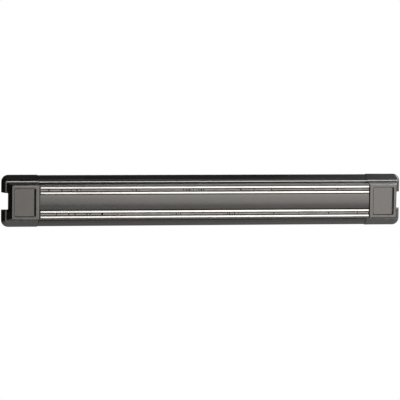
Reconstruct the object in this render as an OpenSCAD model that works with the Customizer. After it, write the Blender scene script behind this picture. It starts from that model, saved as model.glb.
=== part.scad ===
// Wall-mounted magnetic knife rack: a black extruded channel that holds two rows of ferrite
// blocks between steel pole strips, closed at each end by a moulded cap with a pull-out screw cover.
// Frame: X runs along the rack, Z is up, Y = 0 is the wall and the front looks along -Y.
// "Rise" below always means the distance out of the wall, which is -Y.

/* [Overall] */
// Length of the whole rack over both end caps
rack_length = 355; // [260:1:610]
// Height of the channel where it meets the wall
rack_height = 44.4; // [36:0.2:56]
// Rise of the pole strips' front edges, the frontmost faces
rack_rise = 18; // [17:0.5:24]

/* [Channel profile] */
// Rise of the narrow ledge that runs round the raised centre
ledge_rise = 9; // [8:0.5:11]
// Width of that ledge
ledge_width = 1; // [0.8:0.1:1.6]
// Lean of each raised side between the front land and the ledge
side_lean = 1.6; // [1:0.1:2.4]
// Width of the plastic land outside each magnet pocket
land_width = 1.1; // [0.9:0.1:1.6]
// How far the plastic lands sit behind the pole strips
land_set_back = 0.8; // [0.4:0.1:1.5]
// Height of the centre panel between the two magnet pockets
panel_height = 14.4; // [12:0.2:16]
// How far the centre panel's edges sit behind the pole strips
panel_set_back = 1.6; // [1:0.1:2.5]
// Crown of the centre panel above its edges
panel_crown = 0.7; // [0.2:0.1:0.9]
// Flat margin along each edge of the centre panel
panel_margin = 0.9; // [0.5:0.1:1.5]
// Wall of the channel
channel_wall = 1.5; // [1.2:0.1:2]
// Depth of the groove in each flange, just behind the ledge
groove_depth = 0.5; // [0.2:0.1:0.7]
// Width of the lead-in chamfer at the mouth of each magnet pocket
lead_in = 0.5; // [0.2:0.1:0.6]

/* [Magnets and poles] */
// Thickness of a steel pole strip
pole_thickness = 1.6; // [1.2:0.1:2]
// Depth of a pole strip, from its front edge to the pocket floor
pole_depth = 11.6; // [10:0.1:12]
// Thickness of a ferrite block
magnet_thickness = 3; // [2.5:0.1:4]
// Length of a full ferrite block
magnet_length = 53; // [30:0.5:60]
// Length of the cut block that starts the upper row
upper_first_block = 27; // [6:0.5:50]
// Length of the cut block that starts the lower row
lower_first_block = 14; // [6:0.5:50]
// Gap between neighbouring ferrite blocks
magnet_gap = 0.4; // [0.2:0.1:1]
// How far the ferrite sits behind the pole strips
magnet_set_back = 1; // [0.5:0.1:2]
// Chamfer on the front edges of a ferrite block
magnet_chamfer = 0.45; // [0.2:0.05:0.8]
// Thickness of the adhesive bed on each pocket floor
adhesive_thickness = 0.4; // [0.2:0.1:0.8]
// Free space on each side of a magnet row in its pocket
pocket_clearance = 0.1; // [0.05:0.05:0.2]

/* [End caps] */
// Length of an end cap
cap_length = 31.4; // [26:0.2:38]
// How far a cap stands proud of the channel all round
cap_proud = 0.4; // [0.2:0.1:0.8]
// Corner radius of a cap at the wall
cap_corner = 6; // [4:0.5:8]
// Depth of the end notch, along the rack
notch_depth = 6; // [5:0.1:7.2]
// Height of the end notch
notch_height = 15; // [12:0.5:18]
// Draft of a cap's end face, from the wall to the ledge
end_draft = 2.4; // [1:0.1:3]
// Width of the ledge at a cap's end
end_ledge = 1.4; // [1:0.1:2]
// Lean of the raised block's end, from the ledge to the front
end_lean = 3.6; // [2:0.1:4]
// Wall of the cap moulding
cap_wall = 1.8; // [1.5:0.1:2.2]
// Wall between a cap's core and the seam
seam_wall = 1.4; // [1:0.1:2]
// Length of the raised block's outer frame bar
frame_outer = 1.8; // [1.6:0.1:2.6]
// Length of the raised block's inner frame bar
frame_inner = 3.5; // [2.6:0.1:4]
// Height of the frame bars above and below the cover
frame_side = 2.3; // [2:0.1:3]
// Gap between a cap and the end of the channel
seam_gap = 0.25; // [0.1:0.05:0.5]
// Length of the spigot that enters the channel
spigot_length = 12; // [8:1:20]
// Free space round the spigot
spigot_clearance = 0.25; // [0.15:0.05:0.4]
// Free space between the spigot's ribs and the channel
rib_clearance = 0.05; // [0.03:0.01:0.1]

/* [Screw covers] */
// How far a cover sits behind its frame
cover_set_back = 1.3; // [0.6:0.1:1.6]
// Thickness of a cover plate
cover_thickness = 1.8; // [1.4:0.1:2.2]
// Sideways play of a cover in its window
cover_play = 1.4; // [0.4:0.1:1.6]
// Up and down play of a cover in its window
cover_play_z = 0.4; // [0.2:0.1:0.6]
// Rest gap on the side that a cover leans towards
cover_rest_gap = 0.15; // [0.1:0.05:0.2]
// Depth of the slot beside the cover, where a blade lifts it out
pry_slot_depth = 3.8; // [1:0.1:4]
// Length of a cover's legs behind its plate
leg_length = 7; // [5:0.5:8]
// Width of a cover's leg
leg_width = 8; // [5:0.5:12]
// Thickness of a cover's leg
leg_thickness = 1.4; // [1:0.1:1.8]
// Free space between a leg and the wall of the screw well
leg_clearance = 0.2; // [0.15:0.05:0.3]

/* [Wall fixing] */
// Diameter of the screw hole in each cap
screw_hole_d = 4.6; // [4:0.1:5.5]
// Diameter of the countersink for the screw's head
screw_head_d = 9.2; // [8:0.1:10]
// Thickness of the pad that the screw clamps to the wall
pad_thickness = 3.5; // [3:0.1:5]

/* [Hidden] */
crown_steps = 12;
corner_steps = 6;
corner_fn = 32;
bore_fn = 48;
eps = 0.01;

// Magnet pocket, from the centre panel outwards
pocket_height = 2 * pole_thickness + magnet_thickness + 2 * pocket_clearance;
pocket_in = panel_height / 2;
pocket_out = pocket_in + pocket_height;
pocket_floor = rack_rise - pole_depth - adhesive_thickness;
stack_floor = rack_rise - pole_depth;

// Channel outline, as distances from the centre line
land_rise = rack_rise - land_set_back;
land_out = pocket_out + land_width;
foot_out = land_out + side_lean;
ledge_out = foot_out + ledge_width;
flange_out = rack_height / 2;
flange_edge = 1;
edge_break = 0.3;
panel_rise = rack_rise - panel_set_back;
crown_half = pocket_in - panel_margin;
side_slope = (flange_out - ledge_out) / (ledge_rise - flange_edge);
groove_front = ledge_rise - 1.3;
groove_back = ledge_rise - 2;

// Chambers behind the front wall
chamber_half = pocket_in - channel_wall;
chamber_back = channel_wall;
chamber_front = panel_rise - channel_wall;
back_bar_half = pocket_in;
side_chamber_in = pocket_out + channel_wall;

// Lengths along the rack
channel_length = rack_length - 2 * (cap_length + seam_gap);
row_length = channel_length - 2 * seam_gap;

// A magnet row starts with a cut block, runs on in full ones and ends with one cut to what is left.
// A last block shorter than shortest_cut is left out.
shortest_cut = 5;
block_pitch = magnet_length + magnet_gap;
function after_first(first) = row_length - first - magnet_gap;
function full_blocks(first) = floor((after_first(first) + magnet_gap) / block_pitch);
function last_block(first) = after_first(first) - full_blocks(first) * block_pitch;
function block_count(first) = 1 + full_blocks(first) + (last_block(first) >= shortest_cut ? 1 : 0);
function block_start(i, first) = i == 0 ? 0 : first + magnet_gap + (i - 1) * block_pitch;
function block_size(i, first) =
    i == 0 ? first : i <= full_blocks(first) ? magnet_length : last_block(first);
upper_count = block_count(upper_first_block);
lower_count = block_count(lower_first_block);

// End cap, with x counted from the cap's outer end towards the channel
base_out = flange_out + cap_proud;
base_ledge_out = ledge_out + cap_proud;
ledge_corner = 1.2;
ledge_bevel = 0.2;
nose_foot_x = end_draft + end_ledge;
nose_face_x = nose_foot_x + end_lean;
nose_face_out = land_out;
nose_foot_out = foot_out + cap_proud / 2;
nose_edge = 0.5;
nose_corner = 1.2;
window_x0 = nose_face_x + frame_outer;
window_x1 = cap_length - frame_inner;
window_half = nose_face_out - frame_side;
window_corner = 1.2;
window_mid = (window_x0 + window_x1) / 2;
shelf = 1.2;
shelf_rise = rack_rise - cover_set_back - cover_thickness - 0.1;
well_x0 = window_x0 + shelf;
well_x1 = window_x1 - shelf;
well_half = window_half - shelf;
well_wall = 1.6;
core_width = 1.2;
core_skin = 2.8;
spigot_half = chamber_half - spigot_clearance;
spigot_back = chamber_back + spigot_clearance;
spigot_front = chamber_front - spigot_clearance;
rib_width = 1;
screw_x = (well_x0 + well_x1) / 2;

// Screw cover
cover_w = window_x1 - window_x0 - cover_play;
cover_h = 2 * window_half - cover_play_z;
cover_corner = 1.4;
cover_front = rack_rise - cover_set_back;
cover_back = cover_front - cover_thickness;
cover_shift = cover_play / 2 - cover_rest_gap;
leg_out = well_half - leg_clearance;

// A profile drawn as [rise, height] pairs, swept along X between x0 and x1
module sweep_x(points, x0, x1) {
    translate([x0, 0, 0]) rotate([90, 0, 90]) linear_extrude(x1 - x0)
        polygon([for (p = points) [-p[0], p[1]]]);
}

// A block between two x, two heights and two rises
module block(x0, x1, z0, z1, rise0, rise1) {
    translate([x0, -rise1, z0]) cube([x1 - x0, rise1 - rise0, z1 - z0]);
}

// Points of a rectangle with round corners, centred on the origin
function rounded_rect(w, h, r) = [
    for (c = [[1, 1, 0], [-1, 1, 90], [-1, -1, 180], [1, -1, 270]])
        for (i = [0 : corner_steps])
            let (a = c[2] + 90 * i / corner_steps)
                [c[0] * (w / 2 - r) + r * cos(a), c[1] * (h / 2 - r) + r * sin(a)]
];

// A plate with round corners, centred on x_mid, between two rises
module plate(x_mid, w, h, r, rise0, rise1) {
    translate([x_mid, -rise0, 0]) rotate([90, 0, 0]) linear_extrude(rise1 - rise0)
        polygon(rounded_rect(w, h, r));
}

// ---- Channel ----

function upper_outline() = [
    for (i = [0 : crown_steps])
        let (z = crown_half * i / crown_steps)
            [panel_rise + panel_crown * (1 - pow(z / crown_half, 2)), z],
    [panel_rise, pocket_in + pocket_height / 2],
    [land_rise, pocket_in + pocket_height / 2],
    [land_rise, land_out - edge_break],
    [land_rise - edge_break, land_out],
    [ledge_rise + edge_break, foot_out],
    [ledge_rise, foot_out + edge_break],
    [ledge_rise, ledge_out - edge_break / 2],
    [ledge_rise - edge_break, ledge_out],
    [groove_front, ledge_out + (ledge_rise - groove_front) * side_slope],
    [groove_back, ledge_out + (ledge_rise - groove_back) * side_slope - groove_depth],
    [groove_back - groove_depth, ledge_out + (ledge_rise - groove_back + groove_depth) * side_slope],
    [flange_edge, flange_out],
    [0, flange_out]
];

function flipped(points) = [for (i = [len(points) - 1 : -1 : 0]) [points[i][0], -points[i][1]]];

module magnet_pocket_cut(length) {
    sweep_x([
        [pocket_floor, pocket_in], [pocket_floor, pocket_out],
        [land_rise - lead_in, pocket_out], [land_rise, pocket_out + lead_in],
        [rack_rise + 1, pocket_out + lead_in], [rack_rise + 1, pocket_in - lead_in],
        [panel_rise, pocket_in - lead_in], [panel_rise - lead_in, pocket_in]
    ], -length / 2 - 1, length / 2 + 1);
}

// The open space behind the sloping flange, which keeps the wall's thickness all over
module side_chamber_cut(length) {
    under_ledge = ledge_rise - channel_wall - 0.3;
    flange_skin = channel_wall + 0.4;
    sweep_x([
        [-1, side_chamber_in],
        [-1, flange_out - flange_skin + side_slope],
        [0, flange_out - flange_skin],
        [under_ledge, max(side_chamber_in + 0.4, ledge_out - flange_skin + 1.2 * side_slope)],
        [under_ledge, side_chamber_in]
    ], -length / 2 - 1, length / 2 + 1);
}

// The open space behind a magnet pocket, between the back bar and the flange
module pocket_back_cut(length) {
    block(-length / 2 - 1, length / 2 + 1, back_bar_half, side_chamber_in + eps,
          -1, pocket_floor - channel_wall);
}

module channel_body() {
    color([0.07, 0.07, 0.07])
    difference() {
        sweep_x(concat(upper_outline(), flipped(upper_outline())), -channel_length / 2, channel_length / 2);
        for (side = [0, 1]) mirror([0, 0, side]) {
            magnet_pocket_cut(channel_length);
            side_chamber_cut(channel_length);
            pocket_back_cut(channel_length);
        }
        block(-channel_length / 2 - 1, channel_length / 2 + 1, -chamber_half, chamber_half,
              chamber_back, chamber_front);
    }
}

// ---- Magnet rows ----

// Lowest height of each layer in the upper pocket
layer_inner_pole = pocket_in + pocket_clearance;
layer_magnet = layer_inner_pole + pole_thickness;
layer_outer_pole = layer_magnet + magnet_thickness;

module pole(z0, up) {
    brk = 0.15;
    color([0.82, 0.82, 0.83])
    mirror([0, 0, up ? 0 : 1])
        sweep_x([
            [stack_floor, z0], [stack_floor, z0 + pole_thickness],
            [rack_rise - brk, z0 + pole_thickness], [rack_rise, z0 + pole_thickness - brk],
            [rack_rise, z0 + brk], [rack_rise - brk, z0]
        ], -row_length / 2, row_length / 2);
}

module magnet(i, up) {
    first = up ? upper_first_block : lower_first_block;
    x0 = -row_length / 2 + block_start(i, first);
    face = rack_rise - magnet_set_back;
    z0 = layer_magnet;
    z1 = layer_magnet + magnet_thickness;
    color([0.19, 0.18, 0.17])
    mirror([0, 0, up ? 0 : 1])
        sweep_x([
            [stack_floor, z0], [stack_floor, z1],
            [face - magnet_chamfer, z1], [face, z1 - magnet_chamfer],
            [face, z0 + magnet_chamfer], [face - magnet_chamfer, z0]
        ], x0, x0 + block_size(i, first));
}

module adhesive_bed(up) {
    color([0.62, 0.55, 0.36])
    mirror([0, 0, up ? 0 : 1])
        block(-row_length / 2, row_length / 2, layer_inner_pole, layer_outer_pole + pole_thickness,
              pocket_floor, stack_floor);
}

// ---- End caps ----

// One level of a cap's tapered shape: round posts at the outer end, square ones at the seam
module cap_level(x0, half, r, rise0, rise1) {
    for (side = [-1, 1])
        translate([x0 + r, -rise0, side * (half - r)]) rotate([90, 0, 0])
            cylinder(r = r, h = rise1 - rise0, $fn = corner_fn);
    block(cap_length - 1, cap_length, -half, half, rise0, rise1);
}

module cap_base() {
    hull() {
        cap_level(0, base_out, cap_corner, 0, flange_edge);
        cap_level(end_draft, base_ledge_out, ledge_corner, ledge_rise - 2 * ledge_bevel, ledge_rise - ledge_bevel);
        cap_level(end_draft + ledge_bevel, base_ledge_out - ledge_bevel, ledge_corner,
                  ledge_rise - ledge_bevel, ledge_rise);
    }
}

module cap_nose() {
    hull() {
        cap_level(nose_foot_x, nose_foot_out, nose_corner, ledge_rise - 1, ledge_rise);
        cap_level(nose_face_x - nose_edge / 2, nose_face_out, nose_corner,
                  rack_rise - nose_edge - 0.1, rack_rise - nose_edge);
        cap_level(nose_face_x, nose_face_out - nose_edge, nose_corner, rack_rise - 0.1, rack_rise);
    }
}

// The hollow under the base, open to the wall
module cap_hollow() {
    difference() {
        hull() {
            cap_level(cap_wall, base_out - cap_wall, cap_corner - cap_wall, -0.5, 0);
            cap_level(cap_wall + end_draft, base_ledge_out - cap_wall, ledge_corner,
                      ledge_rise - cap_wall - 0.1, ledge_rise - cap_wall);
        }
        block(-1, notch_depth + well_wall, -notch_height / 2 - well_wall, notch_height / 2 + well_wall, -1, ledge_rise);
        block(well_x0 - well_wall, cap_length + 1, -well_half - well_wall, well_half + well_wall, -1, rack_rise);
        block(cap_length - seam_wall, cap_length + 1, -base_out, base_out, -1, rack_rise);
    }
    for (side = [0, 1]) mirror([0, 0, side])
        block(well_x0, well_x1, well_half + well_wall, well_half + well_wall + core_width,
              -1, rack_rise - core_skin);
}

// The screw well, its shelf for the cover, the pry slot, and the screw's own hole
module cap_well_cut() {
    block(well_x0, well_x1, -well_half, well_half, pad_thickness, rack_rise);
    plate(window_mid, window_x1 - window_x0, 2 * window_half, window_corner, shelf_rise, rack_rise + 1);
    block(well_x1 - eps, window_x1, -well_half, well_half, shelf_rise - pry_slot_depth, rack_rise);
    translate([screw_x, 1, 0]) rotate([90, 0, 0])
        cylinder(d = screw_hole_d, h = pad_thickness + 2, $fn = bore_fn);
    sink = (screw_head_d - screw_hole_d) / 2;
    translate([screw_x, -(pad_thickness - sink), 0]) rotate([90, 0, 0])
        cylinder(d1 = screw_hole_d, d2 = screw_head_d, h = sink, $fn = bore_fn);
}

// The hollow behind the inner frame bar, between the screw well and the seam wall
module cap_rear_pocket() {
    block(well_x1 + well_wall, cap_length - seam_wall, -well_half, well_half, -1, ledge_rise);
}

module spigot() {
    difference() {
        union() {
            block(cap_length - eps, cap_length + spigot_length, -spigot_half, spigot_half,
                  spigot_back, spigot_front);
            for (side = [0, 1]) mirror([0, 0, side])
                for (rise = [spigot_back + 1, spigot_front - 1 - rib_width])
                    block(cap_length + seam_gap + 1, cap_length + spigot_length - 1,
                          0, chamber_half - rib_clearance, rise, rise + rib_width);
        }
        block(cap_length, cap_length + spigot_length + 1, -spigot_half + cap_wall, spigot_half - cap_wall,
              spigot_back + cap_wall, spigot_front - cap_wall);
    }
}

module end_cap() {
    color([0.09, 0.09, 0.09]) {
        difference() {
            union() {
                cap_base();
                cap_nose();
            }
            cap_hollow();
            cap_well_cut();
            cap_rear_pocket();
            block(-1, notch_depth, -notch_height / 2, notch_height / 2, -1, rack_rise + 1);
        }
        spigot();
    }
}

// Puts a part drawn at the left end of the rack there, or its mirror image at the right end
module at_end(right) {
    mirror([right ? 1 : 0, 0, 0]) translate([-rack_length / 2, 0, 0]) children();
}

// ---- Screw covers ----

module screw_cover(right) {
    x_mid = (right ? 1 : -1) * (rack_length / 2 - window_mid) - cover_shift;
    color([0.33, 0.33, 0.32]) {
        plate(x_mid, cover_w, cover_h, cover_corner, cover_back, cover_front);
        for (side = [0, 1]) mirror([0, 0, side])
            sweep_x([
                [cover_back + eps, leg_out - leg_thickness], [cover_back + eps, leg_out],
                [cover_back - leg_length + 1, leg_out], [cover_back - leg_length, leg_out - 0.5],
                [cover_back - leg_length, leg_out - leg_thickness]
            ], x_mid - leg_width / 2, x_mid + leg_width / 2);
    }
}

// ---- Nodes ----

channel_body();
pole(layer_outer_pole, true);  // pole_upper_outer
pole(layer_inner_pole, true);  // pole_upper_inner
pole(layer_inner_pole, false);  // pole_lower_inner
pole(layer_outer_pole, false);  // pole_lower_outer
for (i = [1 : upper_count]) magnet(i - 1, true);
for (i = [1 : lower_count]) magnet(i - 1, false);
adhesive_bed(true);  // adhesive_bed_upper
adhesive_bed(false);  // adhesive_bed_lower
at_end(false) end_cap();  // end_cap_left
at_end(true) end_cap();  // end_cap_right
screw_cover(false);  // screw_cover_left
screw_cover(true);  // screw_cover_right
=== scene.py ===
import math
import random

import bmesh
import bpy
from mathutils import Matrix, Vector


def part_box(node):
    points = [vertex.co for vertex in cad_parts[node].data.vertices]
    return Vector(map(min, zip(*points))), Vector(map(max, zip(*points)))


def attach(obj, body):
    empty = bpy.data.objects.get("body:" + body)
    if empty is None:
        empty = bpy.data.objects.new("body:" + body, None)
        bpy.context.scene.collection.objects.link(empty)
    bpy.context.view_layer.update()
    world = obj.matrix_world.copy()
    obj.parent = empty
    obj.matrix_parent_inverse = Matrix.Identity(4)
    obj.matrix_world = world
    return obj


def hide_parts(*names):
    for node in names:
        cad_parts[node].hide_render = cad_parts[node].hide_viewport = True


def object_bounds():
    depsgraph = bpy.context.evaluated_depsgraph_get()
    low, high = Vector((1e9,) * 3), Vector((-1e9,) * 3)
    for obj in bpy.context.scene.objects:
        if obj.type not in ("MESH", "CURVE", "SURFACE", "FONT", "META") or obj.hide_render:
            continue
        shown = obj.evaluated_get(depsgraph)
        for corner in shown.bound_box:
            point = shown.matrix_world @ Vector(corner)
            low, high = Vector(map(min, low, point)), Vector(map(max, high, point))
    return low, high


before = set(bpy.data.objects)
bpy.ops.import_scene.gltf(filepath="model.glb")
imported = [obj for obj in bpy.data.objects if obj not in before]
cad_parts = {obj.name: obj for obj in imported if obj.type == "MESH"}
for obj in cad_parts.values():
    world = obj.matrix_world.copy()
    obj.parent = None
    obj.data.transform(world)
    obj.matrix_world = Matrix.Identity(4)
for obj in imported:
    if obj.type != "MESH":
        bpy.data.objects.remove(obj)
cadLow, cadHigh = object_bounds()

# The pieces are drawn in millimetres, with "rise" as the distance out from the wall,
# and shrunk to metres at the end.
millimetre = 0.001
touching = 0.01  # a point this near to a plane counts as on it
weldGap = 0.002  # points nearer than this become one
nearlyAlong = 0.9  # an edge whose direction has more than this along an axis runs along it
past = 1  # how far a cutting tool runs past what it cuts
starterSize = 0.1  # of the small plane that each drawn outline grows from
rackHalf = cadHigh.x / millimetre
print("rack frame loaded:", len(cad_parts), "parts")


# small helpers for the modelling

def clearSelection():
    if bpy.context.object and bpy.context.object.mode != "OBJECT":
        bpy.ops.object.mode_set(mode="OBJECT")
    bpy.ops.object.select_all(action="DESELECT")


def workOn(piece, editing=False):
    clearSelection()
    piece.select_set(True)
    bpy.context.view_layer.objects.active = piece
    if editing:
        bpy.ops.object.mode_set(mode="EDIT")


def place(x, rise, z):
    return Vector((x, -rise, z))


def partBox(node):  # a part's corners in millimetres: x, rise and z
    low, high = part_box(node)
    low, high = low / millimetre, high / millimetre
    return low.x, high.x, -high.y, -low.y, low.z, high.z


def pickVertices(piece, test):
    bpy.ops.mesh.select_mode(type="VERT")
    bpy.ops.mesh.select_all(action="DESELECT")
    mesh = bmesh.from_edit_mesh(piece.data)
    for vertex in mesh.verts:
        vertex.select_set(test(vertex.co))
    mesh.select_flush_mode()
    bmesh.update_edit_mesh(piece.data)


def pickEdges(piece, test):  # the test gets the middle and the direction of each edge
    bpy.ops.mesh.select_mode(type="EDGE")
    bpy.ops.mesh.select_all(action="DESELECT")
    mesh = bmesh.from_edit_mesh(piece.data)
    for edge in mesh.edges:
        a, b = edge.verts[0].co, edge.verts[1].co
        edge.select_set(test((a + b) / 2, (b - a).normalized()))
    bmesh.update_edit_mesh(piece.data)


def pickFrontCorner(piece, x, rise, middle, side):  # above the middle for a side of 1, below it for -1
    pickVertices(piece, lambda co: abs(co.x - x) < touching and -co.y > rise - touching
                 and (co.z - middle) * side > 0)


def startMesh(name):
    clearSelection()
    bpy.ops.mesh.primitive_plane_add(size=starterSize)
    piece = bpy.context.object
    piece.name = name
    bpy.ops.object.mode_set(mode="EDIT")
    bpy.ops.mesh.delete(type="VERT")
    return piece


def traceLoop(piece, points):  # one vertex drawn out from point to point, then closed
    bpy.ops.mesh.select_mode(type="VERT")
    bpy.ops.mesh.select_all(action="DESELECT")
    bpy.ops.mesh.primitive_plane_add(size=starterSize, location=points[0])
    bpy.ops.mesh.merge(type="CENTER")
    first = len(bmesh.from_edit_mesh(piece.data).verts) - 1
    for here, there in zip(points, points[1:]):
        bpy.ops.mesh.extrude_vertices_move(TRANSFORM_OT_translate={"value": there - here})
    mesh = bmesh.from_edit_mesh(piece.data)
    mesh.verts.ensure_lookup_table()
    mesh.verts[first].select_set(True)
    bpy.ops.mesh.edge_face_add()
    return range(first, first + len(points))


def pickLoops(piece, *loops):
    bpy.ops.mesh.select_mode(type="EDGE")
    bpy.ops.mesh.select_all(action="DESELECT")
    mesh = bmesh.from_edit_mesh(piece.data)
    for edge in mesh.edges:
        ends = [vertex.index for vertex in edge.verts]
        edge.select_set(any(all(end in loop for end in ends) for loop in loops))
    bmesh.update_edit_mesh(piece.data)


def loftLoops(name, loops):  # a closed solid through a stack of outlines
    piece = startMesh(name)
    traced = [traceLoop(piece, points) for points in loops]
    for lower, upper in zip(traced, traced[1:]):
        pickLoops(piece, lower, upper)
        bpy.ops.mesh.bridge_edge_loops()
    for loop in (traced[0], traced[-1]):
        pickLoops(piece, loop)
        bpy.ops.mesh.edge_face_add()
    bpy.ops.mesh.select_all(action="SELECT")
    bpy.ops.mesh.normals_make_consistent(inside=False)
    bpy.ops.object.mode_set(mode="OBJECT")
    return piece


def blockOf(name, x0, x1, z0, z1, rise0, rise1):
    clearSelection()
    middle = place((x0 + x1) / 2, (rise0 + rise1) / 2, (z0 + z1) / 2)
    bpy.ops.mesh.primitive_cube_add(size=1, location=middle)
    piece = bpy.context.object
    piece.name = name
    piece.scale = (x1 - x0, rise1 - rise0, z1 - z0)
    bpy.ops.object.transform_apply(location=True, rotation=False, scale=True)
    return piece


def combine(piece, other, operation="DIFFERENCE"):
    workOn(piece)
    bpy.ops.object.modifier_add(type="BOOLEAN")
    joiner = piece.modifiers[-1]
    joiner.object = other
    joiner.operation = operation
    joiner.solver = "EXACT"
    bpy.ops.object.modifier_apply(modifier=joiner.name)
    bpy.data.objects.remove(other)


def breakEdges(piece, width, segments=2, angle=30):
    workOn(piece)
    bpy.ops.object.modifier_add(type="BEVEL")
    bevel = piece.modifiers[-1]
    bevel.width = width
    bevel.segments = segments
    bevel.limit_method = "ANGLE"
    bevel.angle_limit = math.radians(angle)
    bpy.ops.object.modifier_apply(modifier=bevel.name)


def mirrorAcross(piece):  # over to the other end of the rack
    workOn(piece, editing=True)
    bpy.ops.mesh.select_all(action="SELECT")
    bpy.ops.transform.resize(value=(-1, 1, 1), center_override=(0, 0, 0))
    bpy.ops.mesh.normals_make_consistent(inside=False)
    bpy.ops.object.mode_set(mode="OBJECT")


def copyPiece(piece, name):
    workOn(piece)
    bpy.ops.object.duplicate()
    copy = bpy.context.object
    copy.name = name
    return copy


def shiftPiece(piece, x, z, turned=False):  # turned end for end about its own middle first
    workOn(piece, editing=True)
    bpy.ops.mesh.select_all(action="SELECT")
    if turned:
        middle = sum((Vector(corner) for corner in piece.bound_box), Vector()) / len(piece.bound_box)
        bpy.ops.transform.rotate(value=math.pi, orient_axis="Y", center_override=middle)
    bpy.ops.transform.translate(value=(x, 0, z))
    bpy.ops.object.mode_set(mode="OBJECT")


def finishPiece(piece, finish, body, node, smoothAngle=30):
    workOn(piece, editing=True)
    bpy.ops.mesh.select_all(action="SELECT")
    bpy.ops.mesh.remove_doubles(threshold=weldGap)
    bpy.ops.mesh.normals_make_consistent(inside=False)
    bpy.ops.transform.resize(value=(millimetre,) * 3, center_override=(0, 0, 0))
    bpy.ops.object.mode_set(mode="OBJECT")
    bpy.ops.object.shade_smooth_by_angle(angle=math.radians(smoothAngle))
    bpy.ops.object.modifier_add(type="WEIGHTED_NORMAL")  # keeps broad faces flat between rounded edges
    weigher = piece.modifiers[-1]
    weigher.weight = 100
    weigher.keep_sharp = True
    bpy.ops.object.modifier_apply(modifier=weigher.name)
    piece.data.materials.clear()
    piece.data.materials.append(finish)
    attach(piece, body)
    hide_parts(node)


def paintSides(piece, finish, limit):  # faces that don't look out from the wall get their own finish; where the limit also takes in rounded or chamfered front edges, the dark finish on them is painted shade
    piece.data.materials.append(finish)
    for face in piece.data.polygons:
        face.material_index = 0 if face.normal.y < limit else 1


# shader maths and the node tree behind each finish

mixSockets = {"factor": 0, "first": 6, "second": 7, "out": 2}  # where a Mix node keeps its colours


class Wire:
    def __init__(self, paint, socket):
        self.paint = paint
        self.socket = socket

    def __add__(self, other):
        return self.paint.maths("ADD", self, other)

    def __sub__(self, other):
        return self.paint.maths("SUBTRACT", self, other)

    def __rsub__(self, other):
        return self.paint.maths("SUBTRACT", other, self)

    def __mul__(self, other):
        return self.paint.maths("MULTIPLY", self, other)

    __radd__ = __add__
    __rmul__ = __mul__


class Paint:
    def __init__(self, name):
        self.material = bpy.data.materials.new(name)
        self.material.use_nodes = True
        self.tree = self.material.node_tree
        self.shader = self.tree.nodes["Principled BSDF"]
        self.place = self.node("ShaderNodeTexCoord", out="Object")

    def node(self, kind, settings=None, sockets=None, out=0):
        made = self.tree.nodes.new(kind)
        for key, value in (settings or {}).items():
            setattr(made, key, value)
        for key, value in (sockets or {}).items():
            self.feed(made.inputs[key], value)
        return Wire(self, made.outputs[out])

    def feed(self, socket, value):
        if isinstance(value, Wire):
            self.tree.links.new(value.socket, socket)
        elif hasattr(value, "__len__") and len(value) == 3 and len(socket.default_value) == 4:
            socket.default_value = (*value, 1.0)
        else:
            socket.default_value = value

    def maths(self, operation, first, second):
        return self.node("ShaderNodeMath", {"operation": operation}, {0: first, 1: second})

    def noise(self, scale, stretch=(1, 1, 1), detail=3.0, roughness=0.55, shift=(0, 0, 0)):
        spread = self.node("ShaderNodeMapping", None, {
            "Vector": self.place, "Scale": stretch, "Location": shift})
        return self.node("ShaderNodeTexNoise", None, {
            "Vector": spread, "Scale": scale, "Detail": detail, "Roughness": roughness}, out="Fac")

    def remap(self, value, low, high, toLow=0.0, toHigh=1.0):
        return self.node("ShaderNodeMapRange", {"clamp": True}, {
            "Value": value, "From Min": low, "From Max": high, "To Min": toLow, "To Max": toHigh})

    def blend(self, factor, first, second):
        made = self.tree.nodes.new("ShaderNodeMix")
        made.data_type = "RGBA"
        self.feed(made.inputs[mixSockets["factor"]], factor)
        self.feed(made.inputs[mixSockets["first"]], first)
        self.feed(made.inputs[mixSockets["second"]], second)
        return Wire(self, made.outputs[mixSockets["out"]])

    def bump(self, height, strength, distance):
        return self.node("ShaderNodeBump", None, {
            "Height": height, "Strength": strength, "Distance": distance})

    def set(self, **sockets):
        for key, value in sockets.items():
            name = {"baseColor": "Base Color", "roughness": "Roughness", "metallic": "Metallic",
                    "normal": "Normal", "specular": "Specular IOR Level"}[key]
            self.feed(self.shader.inputs[name], value)
        return self.material


# the finishes

plasticLook = {
    "deep": (0.0065, 0.0062, 0.0057), "worn": (0.016, 0.0152, 0.014), "scuff": (0.12, 0.115, 0.108),
    "roughness": 0.30, "specular": 0.85, "seedSpread": (1.0, 0.7, 1.3),
    "cloudSize": 28.0, "speckSize": 900.0, "grainSize": 2600.0, "dieLines": (6.0, 1900.0, 1900.0),
    "rubs": (35.0, 60.0, 900.0), "nicks": (700.0, 90.0, 60.0),
    "paleRange": (0.3, 0.8, 0.0, 0.55), "wearRange": (0.45, 0.75),
    "rubRange": (0.66, 0.72), "nickRange": (0.69, 0.74),
    "scuffShare": 0.5, "scuffRough": 0.15, "scuffDepth": 0.8, "uneven": 0.08,
    "drawnBump": 0.25, "mouldedBump": 0.5, "grainHeight": 0.00002,
}


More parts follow.
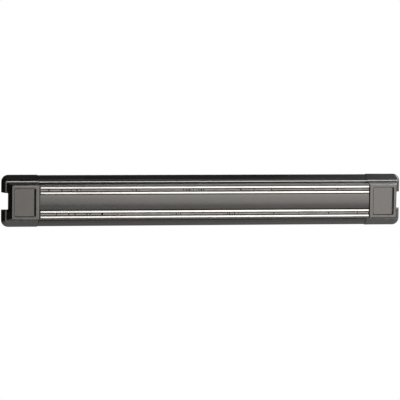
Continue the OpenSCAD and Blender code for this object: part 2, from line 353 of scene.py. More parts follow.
def blackPlastic(name, drawn, tone=1.0, roughness=None, specular=None, seed=0.0):
    look = plasticLook
    paint = Paint(name)
    base = look["roughness"] if roughness is None else roughness
    gloss = look["specular"] if specular is None else specular
    shift = tuple(seed * share for share in look["seedSpread"])
    clouds = paint.noise(look["cloudSize"], detail=4.0, shift=shift)
    speck = paint.noise(look["speckSize"], detail=2.0, shift=shift)
    if drawn:  # fine lines left by the die, along the channel
        grain = paint.noise(1.0, stretch=look["dieLines"], detail=3.0, roughness=0.6, shift=shift)
    else:  # spark-eroded mould texture
        grain = paint.noise(look["grainSize"], detail=2.0, roughness=0.7, shift=shift)
    rubs = paint.noise(1.0, stretch=look["rubs"], detail=4.0, roughness=0.7, shift=shift)
    nicks = paint.noise(1.0, stretch=look["nicks"], detail=3.0, roughness=0.75, shift=shift)
    wear = paint.remap(clouds, *look["wearRange"])
    scratch = paint.remap(rubs, *look["rubRange"]) + paint.remap(nicks, *look["nickRange"])
    scratch = paint.node("ShaderNodeClamp", None, {"Value": scratch * wear})
    deep = tuple(channel * tone for channel in look["deep"])
    worn = tuple(channel * tone for channel in look["worn"])
    colour = paint.blend(paint.remap(clouds, *look["paleRange"]), deep, worn)
    colour = paint.blend(scratch * look["scuffShare"], colour, look["scuff"])
    rough = base + (clouds - 0.5) * look["uneven"] + (speck - 0.5) * look["uneven"]
    rough = rough + scratch * look["scuffRough"]
    bump = look["drawnBump"] if drawn else look["mouldedBump"]
    height = grain - scratch * look["scuffDepth"]
    return paint.set(baseColor=colour, roughness=rough, specular=gloss,
                     normal=paint.bump(height, bump, look["grainHeight"]))


steelLook = {
    "clean": (0.47, 0.47, 0.475), "stained": (0.39, 0.39, 0.39), "pitted": (0.28, 0.27, 0.26),
    "lines": (14.0, 2600.0, 5200.0), "nicks": (900.0, 260.0, 260.0), "stainSize": 45.0,
    "stainRange": (0.42, 0.78), "pitRange": (0.68, 0.72), "stainRough": (0.5, 0.8, 0.0, 0.08),
    "pitShare": 0.5, "pitRough": 0.2, "pitDepth": 0.7,
    "roughness": 0.26, "lineRough": 0.10, "bump": 0.35, "grindingHeight": 0.00001,
}


def groundSteel(name):
    look = steelLook
    paint = Paint(name)
    lines = paint.noise(1.0, stretch=look["lines"], detail=3.0, roughness=0.6)
    stain = paint.noise(look["stainSize"], detail=4.0)
    nicks = paint.noise(1.0, stretch=look["nicks"], detail=3.0, roughness=0.75)
    pits = paint.remap(nicks, *look["pitRange"])
    colour = paint.blend(paint.remap(stain, *look["stainRange"]), look["clean"], look["stained"])
    colour = paint.blend(pits * look["pitShare"], colour, look["pitted"])
    rough = look["roughness"] + lines * look["lineRough"] + paint.remap(stain, *look["stainRough"])
    rough = rough + pits * look["pitRough"]
    return paint.set(baseColor=colour, metallic=1.0, roughness=rough,
                     normal=paint.bump(lines - pits * look["pitDepth"], look["bump"], look["grindingHeight"]))


skinAndEdgeShadeLook = {
    "dark": (0.030, 0.030, 0.032), "rubbed": (0.085, 0.080, 0.076), "rust": (0.16, 0.10, 0.07),
    "flow": (60.0, 700.0, 700.0), "flowRange": (0.35, 0.7), "spotSize": 700.0, "spotRange": (0.62, 0.7),
    "rustShare": 0.5, "metallic": 0.4, "roughness": 0.55, "uneven": 0.2, "bump": 0.4, "skinHeight": 0.00003,
}


def scaledSteelWithEdgeShade(name):  # the sides of the strips keep the dark skin they were rolled with; the same dark finish on the rounded front edges is painted shade along the strip edges
    look = skinAndEdgeShadeLook
    paint = Paint(name)
    flow = paint.noise(1.0, stretch=look["flow"], detail=4.0, roughness=0.65)
    spots = paint.noise(look["spotSize"], detail=3.0, roughness=0.7)
    colour = paint.blend(paint.remap(flow, *look["flowRange"]), look["dark"], look["rubbed"])
    colour = paint.blend(paint.remap(spots, *look["spotRange"]) * look["rustShare"], colour, look["rust"])
    rough = look["roughness"] + (flow - 0.5) * look["uneven"]
    return paint.set(baseColor=colour, metallic=look["metallic"], roughness=rough,
                     normal=paint.bump(flow, look["bump"], look["skinHeight"]))


ferriteLook = {
    "dark": (0.088, 0.086, 0.083), "pale": (0.160, 0.156, 0.150),
    "grooved": (0.030, 0.029, 0.028), "glint": (0.28, 0.27, 0.26),
    "gritSize": 2400.0, "patchSize": 120.0, "grinding": (1300.0, 30.0, 30.0),
    "patchRange": (0.3, 0.75), "grindingRange": (0.6, 0.72), "gritRange": (0.62, 0.7),
    "groovedShare": 0.6, "glintShare": 0.4,
    "roughness": 0.5, "patchRough": 0.25, "gritRough": 0.1, "bump": 0.6, "gritHeight": 0.00003,
}


def darkFerrite(name):
    look = ferriteLook
    paint = Paint(name)
    grit = paint.noise(look["gritSize"], detail=3.0, roughness=0.7)
    patch = paint.noise(look["patchSize"], detail=4.0)
    grinding = paint.noise(1.0, stretch=look["grinding"], detail=3.0, roughness=0.65)
    colour = paint.blend(paint.remap(patch, *look["patchRange"]), look["dark"], look["pale"])
    grooves = paint.remap(grinding, *look["grindingRange"]) * look["groovedShare"]
    colour = paint.blend(grooves, colour, look["grooved"])
    colour = paint.blend(paint.remap(grit, *look["gritRange"]) * look["glintShare"], colour, look["glint"])
    rough = look["roughness"] + (patch - 0.5) * look["patchRough"] + (grit - 0.5) * look["gritRough"]
    return paint.set(baseColor=colour, roughness=rough,
                     normal=paint.bump(grit + grinding, look["bump"], look["gritHeight"]))


rawAndChamferShadeLook = {
    "dark": (0.010, 0.0095, 0.009), "dusty": (0.026, 0.024, 0.022), "glue": (0.10, 0.09, 0.08),
    "gritSize": 1800.0, "patchSize": 150.0, "patchRange": (0.35, 0.7), "glueRange": (0.66, 0.74),
    "glueShare": 0.5, "roughness": 0.85, "patchRough": 0.1, "bump": 0.6, "gritHeight": 0.00005,
}


def rawFerrite(name):  # the unground sides, dulled by dust and glue; the same dark finish on the front chamfers is painted shade beside the strips
    look = rawAndChamferShadeLook
    paint = Paint(name)
    grit = paint.noise(look["gritSize"], detail=3.0, roughness=0.7)
    patch = paint.noise(look["patchSize"], detail=4.0)
    colour = paint.blend(paint.remap(patch, *look["patchRange"]), look["dark"], look["dusty"])
    colour = paint.blend(paint.remap(grit, *look["glueRange"]) * look["glueShare"], colour, look["glue"])
    rough = look["roughness"] + (patch - 0.5) * look["patchRough"]
    return paint.set(baseColor=colour, roughness=rough,
                     normal=paint.bump(grit, look["bump"], look["gritHeight"]))


adhesiveLook = {
    "amber": (0.42, 0.35, 0.20), "pale": (0.62, 0.55, 0.38), "patchSize": 160.0, "patchRange": (0.3, 0.7),
    "roughness": 0.45, "patchRough": 0.2, "bump": 0.5, "flowHeight": 0.0001,
}


def curedAdhesive(name):
    look = adhesiveLook
    paint = Paint(name)
    patch = paint.noise(look["patchSize"], detail=4.0)
    colour = paint.blend(paint.remap(patch, *look["patchRange"]), look["amber"], look["pale"])
    return paint.set(baseColor=colour, roughness=look["roughness"] + patch * look["patchRough"],
                     normal=paint.bump(patch, look["bump"], look["flowHeight"]))


channelFinish = blackPlastic("drawnBlackPlastic", drawn=True, specular=0.70, seed=0.3)
capFinish = blackPlastic("mouldedBlackPlastic", drawn=False, seed=1.1)
coverFinish = blackPlastic("coverBlackPlastic", drawn=False, tone=1.15, roughness=0.33, seed=2.7)
steelFinish = groundSteel("groundPoleSteel")
steelSidesWithEdgeShade = scaledSteelWithEdgeShade("rolledPoleSteel")
ferriteFinish = darkFerrite("groundFerrite")
ferriteSidesWithChamferShade = rawFerrite("rawFerrite")
adhesiveFinish = curedAdhesive("curedAdhesive")
print("finishes mixed")


# the long channel

channel = {
    "riseFront": 17.2, "panelEdge": 16.4, "panelCrown": 0.7, "panelHalf": 7.2, "crownHalf": 6.3,
    "pocketOut": 13.6, "pocketFloor": 6.0, "leadIn": 0.65, "landLead": 0.3,
    "landOut": 14.7, "landChamfer": 0.2, "footOut": 16.3,
    "ledgeRise": 9.0, "ledgeOut": 17.3, "ledgeSlant": 0.28,
    "footGroove": 0.30, "footGrooveDepth": 0.6, "footGrooveDraft": 0.05,
    "flangeHalf": partBox("channel_body")[5], "flangeEdge": 1.0, "flangeStart": 0.4,
    "grooveFront": 7.7, "grooveBack": 7.0, "grooveDepth": 0.5,
    "skin": 1.9, "skinStep": 1.0, "sideRoom": 15.1, "sideRoomTop": 7.2, "pocketBack": 4.5, "backBar": 7.2,
    "chamberHalf": 5.7, "chamberBack": 1.5, "chamberFront": 14.9,
    "edgeBreak": 0.12, "edgeAngle": 24, "crownSteps": 14,
}


def channelOutline():
    c = channel
    slope = (c["flangeHalf"] - c["ledgeOut"]) / (c["ledgeRise"] - c["flangeEdge"])

    def onFlange(rise):
        return c["ledgeOut"] + (c["ledgeRise"] - rise) * slope

    steps = c["crownSteps"]
    crown = [(c["panelEdge"] + c["panelCrown"] * (1 - (i / steps) ** 2), c["crownHalf"] * i / steps)
             for i in range(steps + 1)]
    footFloor = c["ledgeRise"] - c["footGrooveDepth"]
    footFar = c["footOut"] + c["footGroove"]
    flangeStart = c["ledgeRise"] - c["flangeStart"]
    grooveEnd = c["grooveBack"] - c["grooveDepth"]
    upper = crown + [
        (c["panelEdge"], c["panelHalf"] - c["leadIn"]),
        (c["panelEdge"] - c["leadIn"], c["panelHalf"]),
        (c["pocketFloor"], c["panelHalf"]),
        (c["pocketFloor"], c["pocketOut"]),
        (c["riseFront"] - c["landLead"], c["pocketOut"]),
        (c["riseFront"], c["pocketOut"] + c["landLead"]),
        (c["riseFront"], c["landOut"] - c["landChamfer"]),
        (c["riseFront"] - c["landChamfer"], c["landOut"]),
        (c["ledgeRise"], c["footOut"]),
        (footFloor, c["footOut"] + c["footGrooveDraft"]),
        (footFloor, footFar - c["footGrooveDraft"]),
        (c["ledgeRise"], footFar),
        (c["ledgeRise"] - c["ledgeSlant"], c["ledgeOut"]),
        (flangeStart, onFlange(flangeStart)),
        (c["grooveFront"], onFlange(c["grooveFront"])),
        (c["grooveBack"], onFlange(c["grooveBack"]) - c["grooveDepth"]),
        (grooveEnd, onFlange(grooveEnd)),
        (c["flangeEdge"], c["flangeHalf"]),
        (0.0, c["flangeHalf"]),
        (0.0, c["flangeHalf"] - c["skin"]),
        (c["sideRoomTop"], c["sideRoom"] + c["skinStep"]),
        (c["sideRoomTop"], c["sideRoom"]),
        (c["pocketBack"], c["sideRoom"]),
        (c["pocketBack"], c["backBar"]),
        (0.0, c["backBar"]),
    ]
    lower = [(rise, -z) for rise, z in reversed(upper[1:])]
    return upper + lower


def makeChannel():
    x0, x1 = partBox("channel_body")[:2]
    c = channel
    piece = startMesh("channelBody")
    traceLoop(piece, [place(x0, rise, z) for rise, z in channelOutline()])
    traceLoop(piece, [place(x0, rise, z) for rise, z in (
        (c["chamberBack"], -c["chamberHalf"]), (c["chamberBack"], c["chamberHalf"]),
        (c["chamberFront"], c["chamberHalf"]), (c["chamberFront"], -c["chamberHalf"]))])
    bpy.ops.mesh.select_all(action="SELECT")
    bpy.ops.mesh.fill(use_beauty=True)
    bpy.ops.mesh.select_all(action="SELECT")
    bpy.ops.mesh.extrude_region_move(TRANSFORM_OT_translate={"value": (x1 - x0, 0, 0)})
    bpy.ops.mesh.select_all(action="SELECT")
    bpy.ops.mesh.normals_make_consistent(inside=False)
    breakEdges(piece, c["edgeBreak"], angle=c["edgeAngle"])
    finishPiece(piece, channelFinish, "rack", "channel_body")


makeChannel()
print("channel drawn")


# the steel pole strips

pole = {
    # the front limit lets the rounded front edges take the dark side finish: painted shade along the strip
    # edges
    "edgeBreak": 0.12, "edgeAngle": 50, "frontLimit": -0.95, "seed": 11,
    "nicks": 26, "nickDepth": 0.05, "nickShallowest": 0.4, "nickReach": 0.5, "plainEnds": 3,
}


def makePole(node):
    x0, x1, rise0, rise1, z0, z1 = partBox(node)
    piece = blockOf("poleStrip", x0, x1, z0, z1, rise0, rise1)
    chance = random.Random(pole["seed"])
    workOn(piece, editing=True)
    middle = (z0 + z1) / 2
    first, last = x0 + pole["plainEnds"], x1 - pole["plainEnds"]
    spots = sorted(chance.uniform(first, last) for i in range(pole["nicks"]))
    for spot in spots:
        for offset in (-pole["nickReach"], 0.0, pole["nickReach"]):
            bpy.ops.mesh.select_all(action="SELECT")
            bpy.ops.mesh.bisect(plane_co=(spot + offset, 0, 0), plane_no=(1, 0, 0))
    for spot in spots:
        side = chance.choice((-1, 1))
        pickFrontCorner(piece, spot, rise1, middle, side)
        depth = pole["nickDepth"] * chance.uniform(pole["nickShallowest"], 1.0)
        bpy.ops.transform.translate(value=(0, depth, -side * depth))
    breakEdges(piece, pole["edgeBreak"], angle=pole["edgeAngle"])
    return piece


poleNodes = [f"pole_{row}_{side}" for row in ("upper", "lower") for side in ("outer", "inner")]
polePattern = makePole(poleNodes[0])
for number, node in enumerate(poleNodes):
    strip = copyPiece(polePattern, "poleStrip" + "".join(word.capitalize() for word in node.split("_")[1:]))
    shiftPiece(strip, 0, partBox(node)[4] - partBox(poleNodes[0])[4], turned=number % 2 == 1)
    finishPiece(strip, steelFinish, "rack", node)
    # the dark side finish also lands on the rounded front edges, as painted shade along each strip
    paintSides(strip, steelSidesWithEdgeShade, pole["frontLimit"])
bpy.data.objects.remove(polePattern)
print("pole strips cut")


# the ferrite blocks between them

block = {
    "chamfer": 0.75, "frontBand": 0.1, "endChamfer": 0.15, "endAngle": 60,
    # the front limit puts the front chamfers under the dark side finish: painted shade beside the strips
    "smoothAngle": 20, "frontLimit": -0.85,
    "ragged": 0.15, "cutEvery": 3.1, "cutSpread": (0.3, 0.7), "seed": 5,
    "chipWide": 0.62, "chipDeep": 2.2, "chipHigh": 2.2, "chipLift": 0.1, "chipTilt": 0.35,
    # where a block has chipped or cracked, along the rack from its middle, with the size of the chip
    "chips": {
        "upper": ((-138.3, 0.9), (-127.0, 0.7), (-113.9, 0.9), (-110.6, 0.5), (-62.0, 0.6), (-20.3, 0.6),
                  (-18.1, 0.7), (-16.4, 0.6), (-14.9, 0.8), (-6.9, 0.6), (-4.7, 0.8), (-2.5, 0.6),
                  (30.4, 0.9), (57.8, 0.8), (117.0, 0.5)),
        "lower": ((-120.7, 0.8), (-115.4, 0.7), (-105.0, 0.8), (-102.3, 0.7), (-91.8, 1.3), (-26.4, 0.5),
                  (-22.6, 0.6), (18.6, 0.6), (20.8, 0.5), (25.2, 0.7), (60.0, 0.6), (109.5, 0.7)),
    },
}


def makeBlock(node):
    x0, x1, rise0, rise1, z0, z1 = partBox(node)
    piece = blockOf("ferriteBlock", x0, x1, z0, z1, rise0, rise1)
    chance = random.Random(block["seed"])
    workOn(piece, editing=True)
    pickEdges(piece, lambda middle, way: abs(way.x) > nearlyAlong and -middle.y > rise1 - block["frontBand"])
    bpy.ops.mesh.bevel(offset=block["chamfer"], segments=1, affect="EDGES")
    cuts = int((x1 - x0) / block["cutEvery"])
    spots = [x0 + (i + chance.uniform(*block["cutSpread"])) * (x1 - x0) / cuts for i in range(cuts)]
    for spot in spots:
        bpy.ops.mesh.select_all(action="SELECT")
        bpy.ops.mesh.bisect(plane_co=(spot, 0, 0), plane_no=(1, 0, 0))
    middle = (z0 + z1) / 2
    for spot in spots:  # every front corner is worn back a little, each by its own amount
        for side in (-1, 1):
            pickFrontCorner(piece, spot, rise1, middle, side)
            depth = chance.uniform(0.0, block["ragged"])
            bpy.ops.transform.translate(value=(0, depth, -side * depth))
    bpy.ops.object.mode_set(mode="OBJECT")
    return piece


def chipTool(spot, size, rise, z, chance):
    clearSelection()
    middle = place(spot, rise + block["chipLift"], z)
    bpy.ops.mesh.primitive_ico_sphere_add(subdivisions=2, radius=1, location=middle)
    tool = bpy.context.object
    tool.scale = (size * block["chipWide"], size * block["chipDeep"], block["chipHigh"])
    tool.rotation_euler = (0, chance.uniform(-block["chipTilt"], block["chipTilt"]), 0)
    bpy.ops.object.transform_apply(location=True, rotation=True, scale=True)
    return tool


def layBlock(pattern, patternNode, node, name, row, turned, chance):
    x0, x1, rise0, rise1, z0, z1 = partBox(node)
    piece = copyPiece(pattern, name)
    shiftPiece(piece, x0 - partBox(patternNode)[0], z0 - partBox(patternNode)[4], turned)
    workOn(piece, editing=True)
    bpy.ops.mesh.select_all(action="SELECT")  # then cut to its length
    bpy.ops.mesh.bisect(plane_co=(x1, 0, 0), plane_no=(1, 0, 0), clear_outer=True, use_fill=True)
    bpy.ops.object.mode_set(mode="OBJECT")
    for spot, size in block["chips"][row]:
        if x0 + size < spot < x1 - size:
            combine(piece, chipTool(spot, size, rise1, (z0 + z1) / 2, chance))
    breakEdges(piece, block["endChamfer"], segments=1, angle=block["endAngle"])
    finishPiece(piece, ferriteFinish, "rack", node, smoothAngle=block["smoothAngle"])
    # the front chamfers take the dark side finish too, as painted shade beside the strips
    paintSides(piece, ferriteSidesWithChamferShade, block["frontLimit"])


chipChance = random.Random(block["seed"])
blockNodes = [node for node in sorted(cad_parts) if node.startswith("magnet_")]
longest = max(blockNodes, key=lambda node: partBox(node)[1] - partBox(node)[0])
blockPattern = makeBlock(longest)
for node in blockNodes:
    row, number = node.split("_")[1:]
    blockName = f"ferrite{row.capitalize()}{number}"
    layBlock(blockPattern, longest, node, blockName, row, int(number) % 2 == 0, chipChance)
bpy.data.objects.remove(blockPattern)
for node in ("adhesive_bed_upper", "adhesive_bed_lower"):
    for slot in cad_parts[node].material_slots:
        slot.material = adhesiveFinish
print("ferrite rows laid")


# the end caps

cap = {
    "length": 31.4, "half": partBox("end_cap_left")[5], "corner": 6.0,
    "edge": 1.0, "draft": 2.4, "rimInset": 0.01,
    "ledgeRise": 9.0, "ledgeHalf": 17.7, "ledgeCorner": 1.2,
    "ledgeRings": ((-0.12, 0.40), (0.0, 0.22), (0.55, 0.0)),  # inset and drop of each outline round the ledge
    "footX": 3.8, "footHalf": 16.5, "footCorner": 1.2, "footGroove": 0.45, "footGrooveDepth": 0.5,
    "faceX": 7.4, "faceHalf": 14.7, "rise": 18.0, "noseRoot": 1.5, "noseRootInset": 0.02,
    # x shift, inset, smaller corner and drop of each outline round the face
    "faceRings": ((-0.25, 0.0, 0.0, 0.5), (-0.12, 0.15, 0.0, 0.18), (0.1, 0.5, 0.1, 0.0)),
    "notchDepth": 6.0, "notchHalf": 7.5, "wall": 1.8, "seamWall": 1.4,
    "windowX0": 9.2, "windowX1": 28.15, "windowHalf": 12.4, "windowCorner": 1.2, "windowFloor": 14.8,
    "prySlot": 3.8, "shelf": 1.2, "wellWall": 1.6, "coreWidth": 1.2, "coreTop": 15.2, "overlap": 0.1,
    "pad": 3.5, "screwX": 18.55, "holeRadius": 2.3, "headRadius": 4.6, "screwSides": 48,
    "spigotLength": 12.0, "spigotHalf": 5.45, "spigotBack": 1.75, "spigotFront": 14.65, "spigotWall": 1.8,
    "spigotRoot": 0.4, "spigotFloor": 0.6, "ribWidth": 1.0, "ribHalf": 5.65, "ribStart": 1.25, "ribInset": 1,
    "edgeBreak": 0.16, "edgeAngle": 32, "cornerSteps": 7,
    "seamStep": 0.4, "seamLift": 0.05, "seamBand": 0.05, "seamChamfer": 0.35,
}


def capRing(x0, half, corner, rise, x1=None):  # square at the seam, round at the outer end
    end = cap["length"] if x1 is None else x1
    steps = cap["cornerSteps"]
    arc = []
    for i in range(steps + 1):
        angle = i / steps * math.pi / 2
        arc.append((x0 + corner * (1 - math.sin(angle)), half - corner * (1 - math.cos(angle))))
    ring = [(end, half)] + arc + [(x, -z) for x, z in reversed(arc)] + [(end, -half)]
    return [place(x - rackHalf, rise, z) for x, z in ring]


def roundRing(xMiddle, width, height, corner, rise, steps=6):
    ring = []
    for signX, signZ, start in ((1, 1, 0), (-1, 1, 90), (-1, -1, 180), (1, -1, 270)):
        for i in range(steps + 1):
            angle = math.radians(start + 90 * i / steps)
            ring.append(place(xMiddle + signX * (width / 2 - corner) + corner * math.cos(angle), rise,
                              signZ * (height / 2 - corner) + corner * math.sin(angle)))
    return ring


def capBlock(x0, x1, z0, z1, rise0, rise1):
    return blockOf("capTool", x0 - rackHalf, x1 - rackHalf, z0, z1, rise0, rise1)


def makeCapShell():
    c = cap
    rim = c["half"] - c["rimInset"]
    shell = loftLoops("endCapLeft", [
        capRing(c["rimInset"], rim, c["corner"], 0),
        capRing(c["rimInset"], rim, c["corner"], c["edge"])] + [
        capRing(c["draft"] + inset, c["ledgeHalf"] - inset, c["ledgeCorner"], c["ledgeRise"] - drop)
        for inset, drop in c["ledgeRings"]])
    groove = c["footGroove"]
    combine(shell, loftLoops("capTool", [
        capRing(c["footX"] - groove, c["footHalf"] + groove, c["footCorner"] + groove,
                c["ledgeRise"] + way, x1=c["length"] + past) for way in (-c["footGrooveDepth"], past)]))
    nose = loftLoops("capNose", [
        capRing(c["footX"] + c["noseRootInset"], c["footHalf"], c["footCorner"],
                c["ledgeRise"] - c["noseRoot"]),
        capRing(c["footX"], c["footHalf"], c["footCorner"], c["ledgeRise"])] + [
        capRing(c["faceX"] + shift, c["faceHalf"] - inset, c["footCorner"] - less, c["rise"] - drop)
        for shift, inset, less, drop in c["faceRings"]])
    combine(shell, nose, "UNION")
    return shell


def makeCapHollow():  # the open underside, less the walls that stay round the notch and the screw well
    c = cap
    seamX = c["length"] - c["seamWall"]
    hollow = loftLoops("capHollow", [
        capRing(c["wall"], c["half"] - c["wall"], c["corner"] - c["wall"], -past / 2, x1=seamX),
        capRing(c["wall"] + c["draft"], c["ledgeHalf"] - c["wall"], c["ledgeCorner"],
                c["ledgeRise"] - c["wall"], x1=seamX)])
    notchWall = c["notchHalf"] + c["wellWall"]
    wellWall = c["windowHalf"] - c["shelf"] + c["wellWall"]
    combine(hollow, capBlock(-past, c["notchDepth"] + c["wellWall"], -notchWall, notchWall, -past, c["rise"]))
    combine(hollow, capBlock(c["windowX0"] + c["shelf"] - c["wellWall"], c["length"] + past,
                             -wellWall, wellWall, -past, c["rise"]))
    return hollow


def makeCapWell(shell):
    c = cap
    middle = (c["windowX0"] + c["windowX1"]) / 2
    wellX0, wellX1 = c["windowX0"] + c["shelf"], c["windowX1"] - c["shelf"]
    wellHalf = c["windowHalf"] - c["shelf"]
    width, height = c["windowX1"] - c["windowX0"], 2 * c["windowHalf"]
    combine(shell, loftLoops("capTool", [roundRing(middle - rackHalf, width, height, c["windowCorner"], rise)
                                         for rise in (c["windowFloor"], c["rise"] + past)]))
    combine(shell, capBlock(wellX0, wellX1, -wellHalf, wellHalf, c["pad"], c["rise"] - past))
    combine(shell, capBlock(wellX1 - c["overlap"], c["windowX1"], -wellHalf, wellHalf,
                            c["windowFloor"] - c["prySlot"], c["rise"] - past))
    coreIn = wellHalf + c["wellWall"]
    for side in (-1, 1):
        edges = sorted((side * coreIn, side * (coreIn + c["coreWidth"])))
        combine(shell, capBlock(wellX0, wellX1, *edges, -past, c["coreTop"]))
    combine(shell, capBlock(wellX1 + c["wellWall"], c["length"] - c["seamWall"], -wellHalf, wellHalf,
                            -past, c["ledgeRise"]))


def makeScrewHole(shell):  # the hole right through the pad, and its countersink
    c = cap
    sink = c["headRadius"] - c["holeRadius"]
    towardWall = (math.pi / 2, 0, 0)
    clearSelection()
    bpy.ops.mesh.primitive_cylinder_add(vertices=c["screwSides"], radius=c["holeRadius"],
                                        depth=c["pad"] + 2 * past,
                                        location=place(c["screwX"] - rackHalf, c["pad"] / 2, 0),
                                        rotation=towardWall)
    bpy.ops.object.transform_apply(location=True, rotation=True, scale=True)
    combine(shell, bpy.context.object)
    clearSelection()
    sinkRise = c["pad"] - sink / 2 + c["overlap"] / 2
    bpy.ops.mesh.primitive_cone_add(vertices=c["screwSides"], radius1=c["holeRadius"],
                                    radius2=c["headRadius"] + c["overlap"], depth=sink + c["overlap"],
                                    location=place(c["screwX"] - rackHalf, sinkRise, 0), rotation=towardWall)
    bpy.ops.object.transform_apply(location=True, rotation=True, scale=True)
    combine(shell, bpy.context.object)


def makeSpigot():
    c = cap
    end = c["length"] + c["spigotLength"]
    spigot = capBlock(c["length"] - c["seamStep"] - c["spigotRoot"], end, -c["spigotHalf"], c["spigotHalf"],
                      c["spigotBack"], c["spigotFront"])
    for rise in (c["spigotBack"] + c["ribInset"], c["spigotFront"] - c["ribInset"] - c["ribWidth"]):
        rib = capBlock(c["length"] + c["ribStart"], end - c["ribInset"], -c["ribHalf"], c["ribHalf"],
                       rise, rise + c["ribWidth"])
        combine(spigot, rib, "UNION")
    inner = c["spigotHalf"] - c["spigotWall"]
    combine(spigot, capBlock(c["length"] + c["spigotFloor"], end + past, -inner, inner,
                             c["spigotBack"] + c["spigotWall"], c["spigotFront"] - c["spigotWall"]))
    return spigot


def makeCaps():
    c = cap
    shell = makeCapShell()
    combine(shell, makeCapHollow())
    makeCapWell(shell)
    makeScrewHole(shell)
    combine(shell, capBlock(-past, c["notchDepth"], -c["notchHalf"], c["notchHalf"], -past, c["rise"] + past))
    combine(shell, capBlock(c["length"] - c["seamStep"], c["length"] + past, -c["half"], c["half"],
                            c["ledgeRise"] + c["seamLift"], c["rise"] + past))
    combine(shell, makeSpigot(), "UNION")
    seamX = c["length"] - c["seamStep"] - rackHalf  # the face stops here, short of the channel
    seamFront = c["rise"] - c["seamBand"]
    workOn(shell, editing=True)
    pickEdges(shell, lambda middle, way: abs(middle.x - seamX) < 2 * touching and -middle.y > seamFront
              and abs(way.z) > nearlyAlong)
    bpy.ops.mesh.bevel(offset=c["seamChamfer"], segments=1, affect="EDGES")
    bpy.ops.object.mode_set(mode="OBJECT")
    breakEdges(shell, c["edgeBreak"], angle=c["edgeAngle"])
    right = copyPiece(shell, "endCapRight")
    mirrorAcross(right)
    finishPiece(shell, capFinish, "cap_left", "end_cap_left")
    finishPiece(right, capFinish, "cap_right", "end_cap_right")


makeCaps()
print("end caps moulded")


# the screw covers

cover = {
    "corner": 1.4, "thick": 1.8, "edge": 0.35, "backEdge": 0.25, "smoothAngle": 40,
    # inset, drop and smaller corner of each outline from the edge to the face, then the dished middle
    "frontRings": ((0.06, 0.16, 0.0), (0.2, 0.04, 0.1), (0.42, 0.0, 0.25)),
    "dish": 0.05, "dishInset": 1.1, "dishCorner": 0.6,
    "legOut": 11.0, "legThick": 1.4, "legWidth": 8.0, "legLength": 7.0, "legBreak": 0.25, "legRoot": 0.3,
}


def makeCover(node):
    x0, x1, rise0, rise1, z0, z1 = partBox(node)
    c = cover
    middle, width, height = (x0 + x1) / 2, x1 - x0, z1 - z0
    back = rise1 - c["thick"]
    rings = [(c["backEdge"], back, c["corner"]), (0.0, back + c["backEdge"], c["corner"]),
             (0.0, rise1 - c["edge"], c["corner"])]
    rings += [(inset, rise1 - drop, c["corner"] - less) for inset, drop, less in c["frontRings"]]
    rings += [(c["dishInset"], rise1 - c["dish"], c["dishCorner"])]
    plate = loftLoops("screwCoverLeft", [
        roundRing(middle, width - 2 * inset, height - 2 * inset, corner, rise)
        for inset, rise, corner in rings])
    for side in (-1, 1):
        edges = sorted((side * (c["legOut"] - c["legThick"]), side * c["legOut"]))
        leg = blockOf("coverLeg", middle - c["legWidth"] / 2, middle + c["legWidth"] / 2, *edges,
                      back - c["legLength"], back + c["legRoot"])
        breakEdges(leg, c["legBreak"])
        combine(plate, leg, "UNION")
    return plate


leftCover = makeCover("screw_cover_left")
rightCover = copyPiece(leftCover, "screwCoverRight")
shiftPiece(rightCover, partBox("screw_cover_right")[0] - partBox("screw_cover_left")[0], 0)
for piece, side in ((leftCover, "left"), (rightCover, "right")):
    finishPiece(piece, coverFinish, f"cover_{side}", f"screw_cover_{side}",
                smoothAngle=cover["smoothAngle"])
print("screw covers fitted")


# camera, lights and floor

view = {
    "azimuth": -11.24, "elevation": 5.44, "roll": 0.80, "distance": 2.3785, "aimX": -0.0024, "aimZ": -0.00012,
    "lens": 244.44, "sensor": 36.0, "clipStart": 0.1,
}


def makeCamera():
    azimuth, elevation, roll = (math.radians(view[key]) for key in ("azimuth", "elevation", "roll"))
    back = Vector((math.sin(azimuth) * math.cos(elevation), -math.cos(azimuth) * math.cos(elevation),
                   math.sin(elevation)))
    level = Vector((math.cos(azimuth), math.sin(azimuth), 0))
    upright = back.cross(level)
    right = math.cos(roll) * level + math.sin(roll) * upright
    up = math.cos(roll) * upright - math.sin(roll) * level
    turn = Matrix((right, up, back)).transposed()
    clearSelection()
    bpy.ops.object.camera_add(location=Vector((view["aimX"], 0, view["aimZ"])) + back * view["distance"],
                              rotation=turn.to_euler())
    camera = bpy.context.object
    camera.name = "rackCamera"
    camera.data.sensor_width = view["sensor"]
    camera.data.lens = view["lens"]
    camera.data.clip_start = view["clipStart"]
    bpy.context.scene.camera = camera


lamps = {
    "frontSoftbox": {"at": (0.65, -1.48, 0.25), "size": (1.35, 1.36), "radiance": 3.65,
                     "colour": (1.0, 0.945, 0.89)},
    "leftFill": {"at": (-0.42, -1.55, 0.22), "size": (0.80, 1.30), "radiance": 1.1,
                 "colour": (1.0, 0.93, 0.85)},
    "highStrip": {"at": (0.44, -1.20, 0.94), "size": (1.20, 0.28), "radiance": 24.0},
    "topGlow": {"at": (0.46, 0.24, 0.60), "size": (0.30, 0.30), "radiance": 0.22, "spread": 80},
    "backSoftbox": {"at": (0.75, 1.30, 0.62), "size": (1.4, 0.55), "radiance": 3.0},
    "backFill": {"at": (1.15, 1.20, -0.12), "size": (0.9, 0.5), "radiance": 0.9},
}


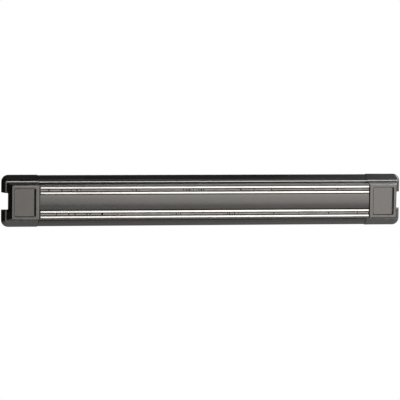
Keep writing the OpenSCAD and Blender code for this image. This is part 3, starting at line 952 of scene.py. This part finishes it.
def makeLamp(name, values):  # each lamp looks at the middle of the rack
    clearSelection()
    here = Vector(values["at"])
    bpy.ops.object.light_add(type="AREA", location=here, rotation=(-here).to_track_quat("-Z", "Y").to_euler())
    lamp = bpy.context.object
    lamp.name = name
    width, height = values["size"]
    lamp.data.shape = "RECTANGLE"
    lamp.data.size = width
    lamp.data.size_y = height
    lamp.data.energy = values["radiance"] * math.pi * width * height
    lamp.data.spread = math.radians(values.get("spread", 180))
    lamp.data.color = values.get("colour", (1.0, 1.0, 1.0))
    lamp.visible_camera = False


surround = {"white": 1.0, "dim": 0.01}  # as the camera sees it, and as it lights the rack


def makeSurround():
    world = bpy.data.worlds.new("paleSurround")
    bpy.context.scene.world = world
    world.use_nodes = True
    tree = world.node_tree
    seen = tree.nodes.new("ShaderNodeLightPath")
    level = tree.nodes.new("ShaderNodeMapRange")
    level.inputs["To Min"].default_value = surround["dim"]
    level.inputs["To Max"].default_value = surround["white"]
    tree.links.new(seen.outputs["Is Camera Ray"], level.inputs["Value"])
    tree.links.new(level.outputs["Result"], tree.nodes["Background"].inputs["Strength"])
    tree.nodes["Background"].inputs["Color"].default_value = (1.0, 1.0, 1.0, 1.0)


floor = {
    "width": 2.8, "front": 1.35, "back": 1.3, "drop": 0.45,
    "colour": (0.74, 0.735, 0.725), "mottle": 0.97, "cloudSize": 6.0, "roughness": 0.8,
}


def makeFloor():
    clearSelection()
    middle = (0, (floor["back"] - floor["front"]) / 2, -floor["drop"])
    bpy.ops.mesh.primitive_plane_add(size=1, location=middle)
    piece = bpy.context.object
    piece.scale = (floor["width"], floor["front"] + floor["back"], 1)
    bpy.ops.object.transform_apply(location=True, rotation=False, scale=True)
    piece.name = "paleFloor"
    paint = Paint("paleFloor")
    darker = tuple(channel * floor["mottle"] for channel in floor["colour"])
    colour = paint.blend(paint.noise(floor["cloudSize"]), floor["colour"], darker)
    piece.data.materials.append(paint.set(baseColor=colour, roughness=floor["roughness"]))


makeCamera()
for lampName, lampValues in lamps.items():
    makeLamp(lampName, lampValues)
makeSurround()
makeFloor()
bpy.context.scene.view_settings.view_transform = "Standard"
print("studio set")
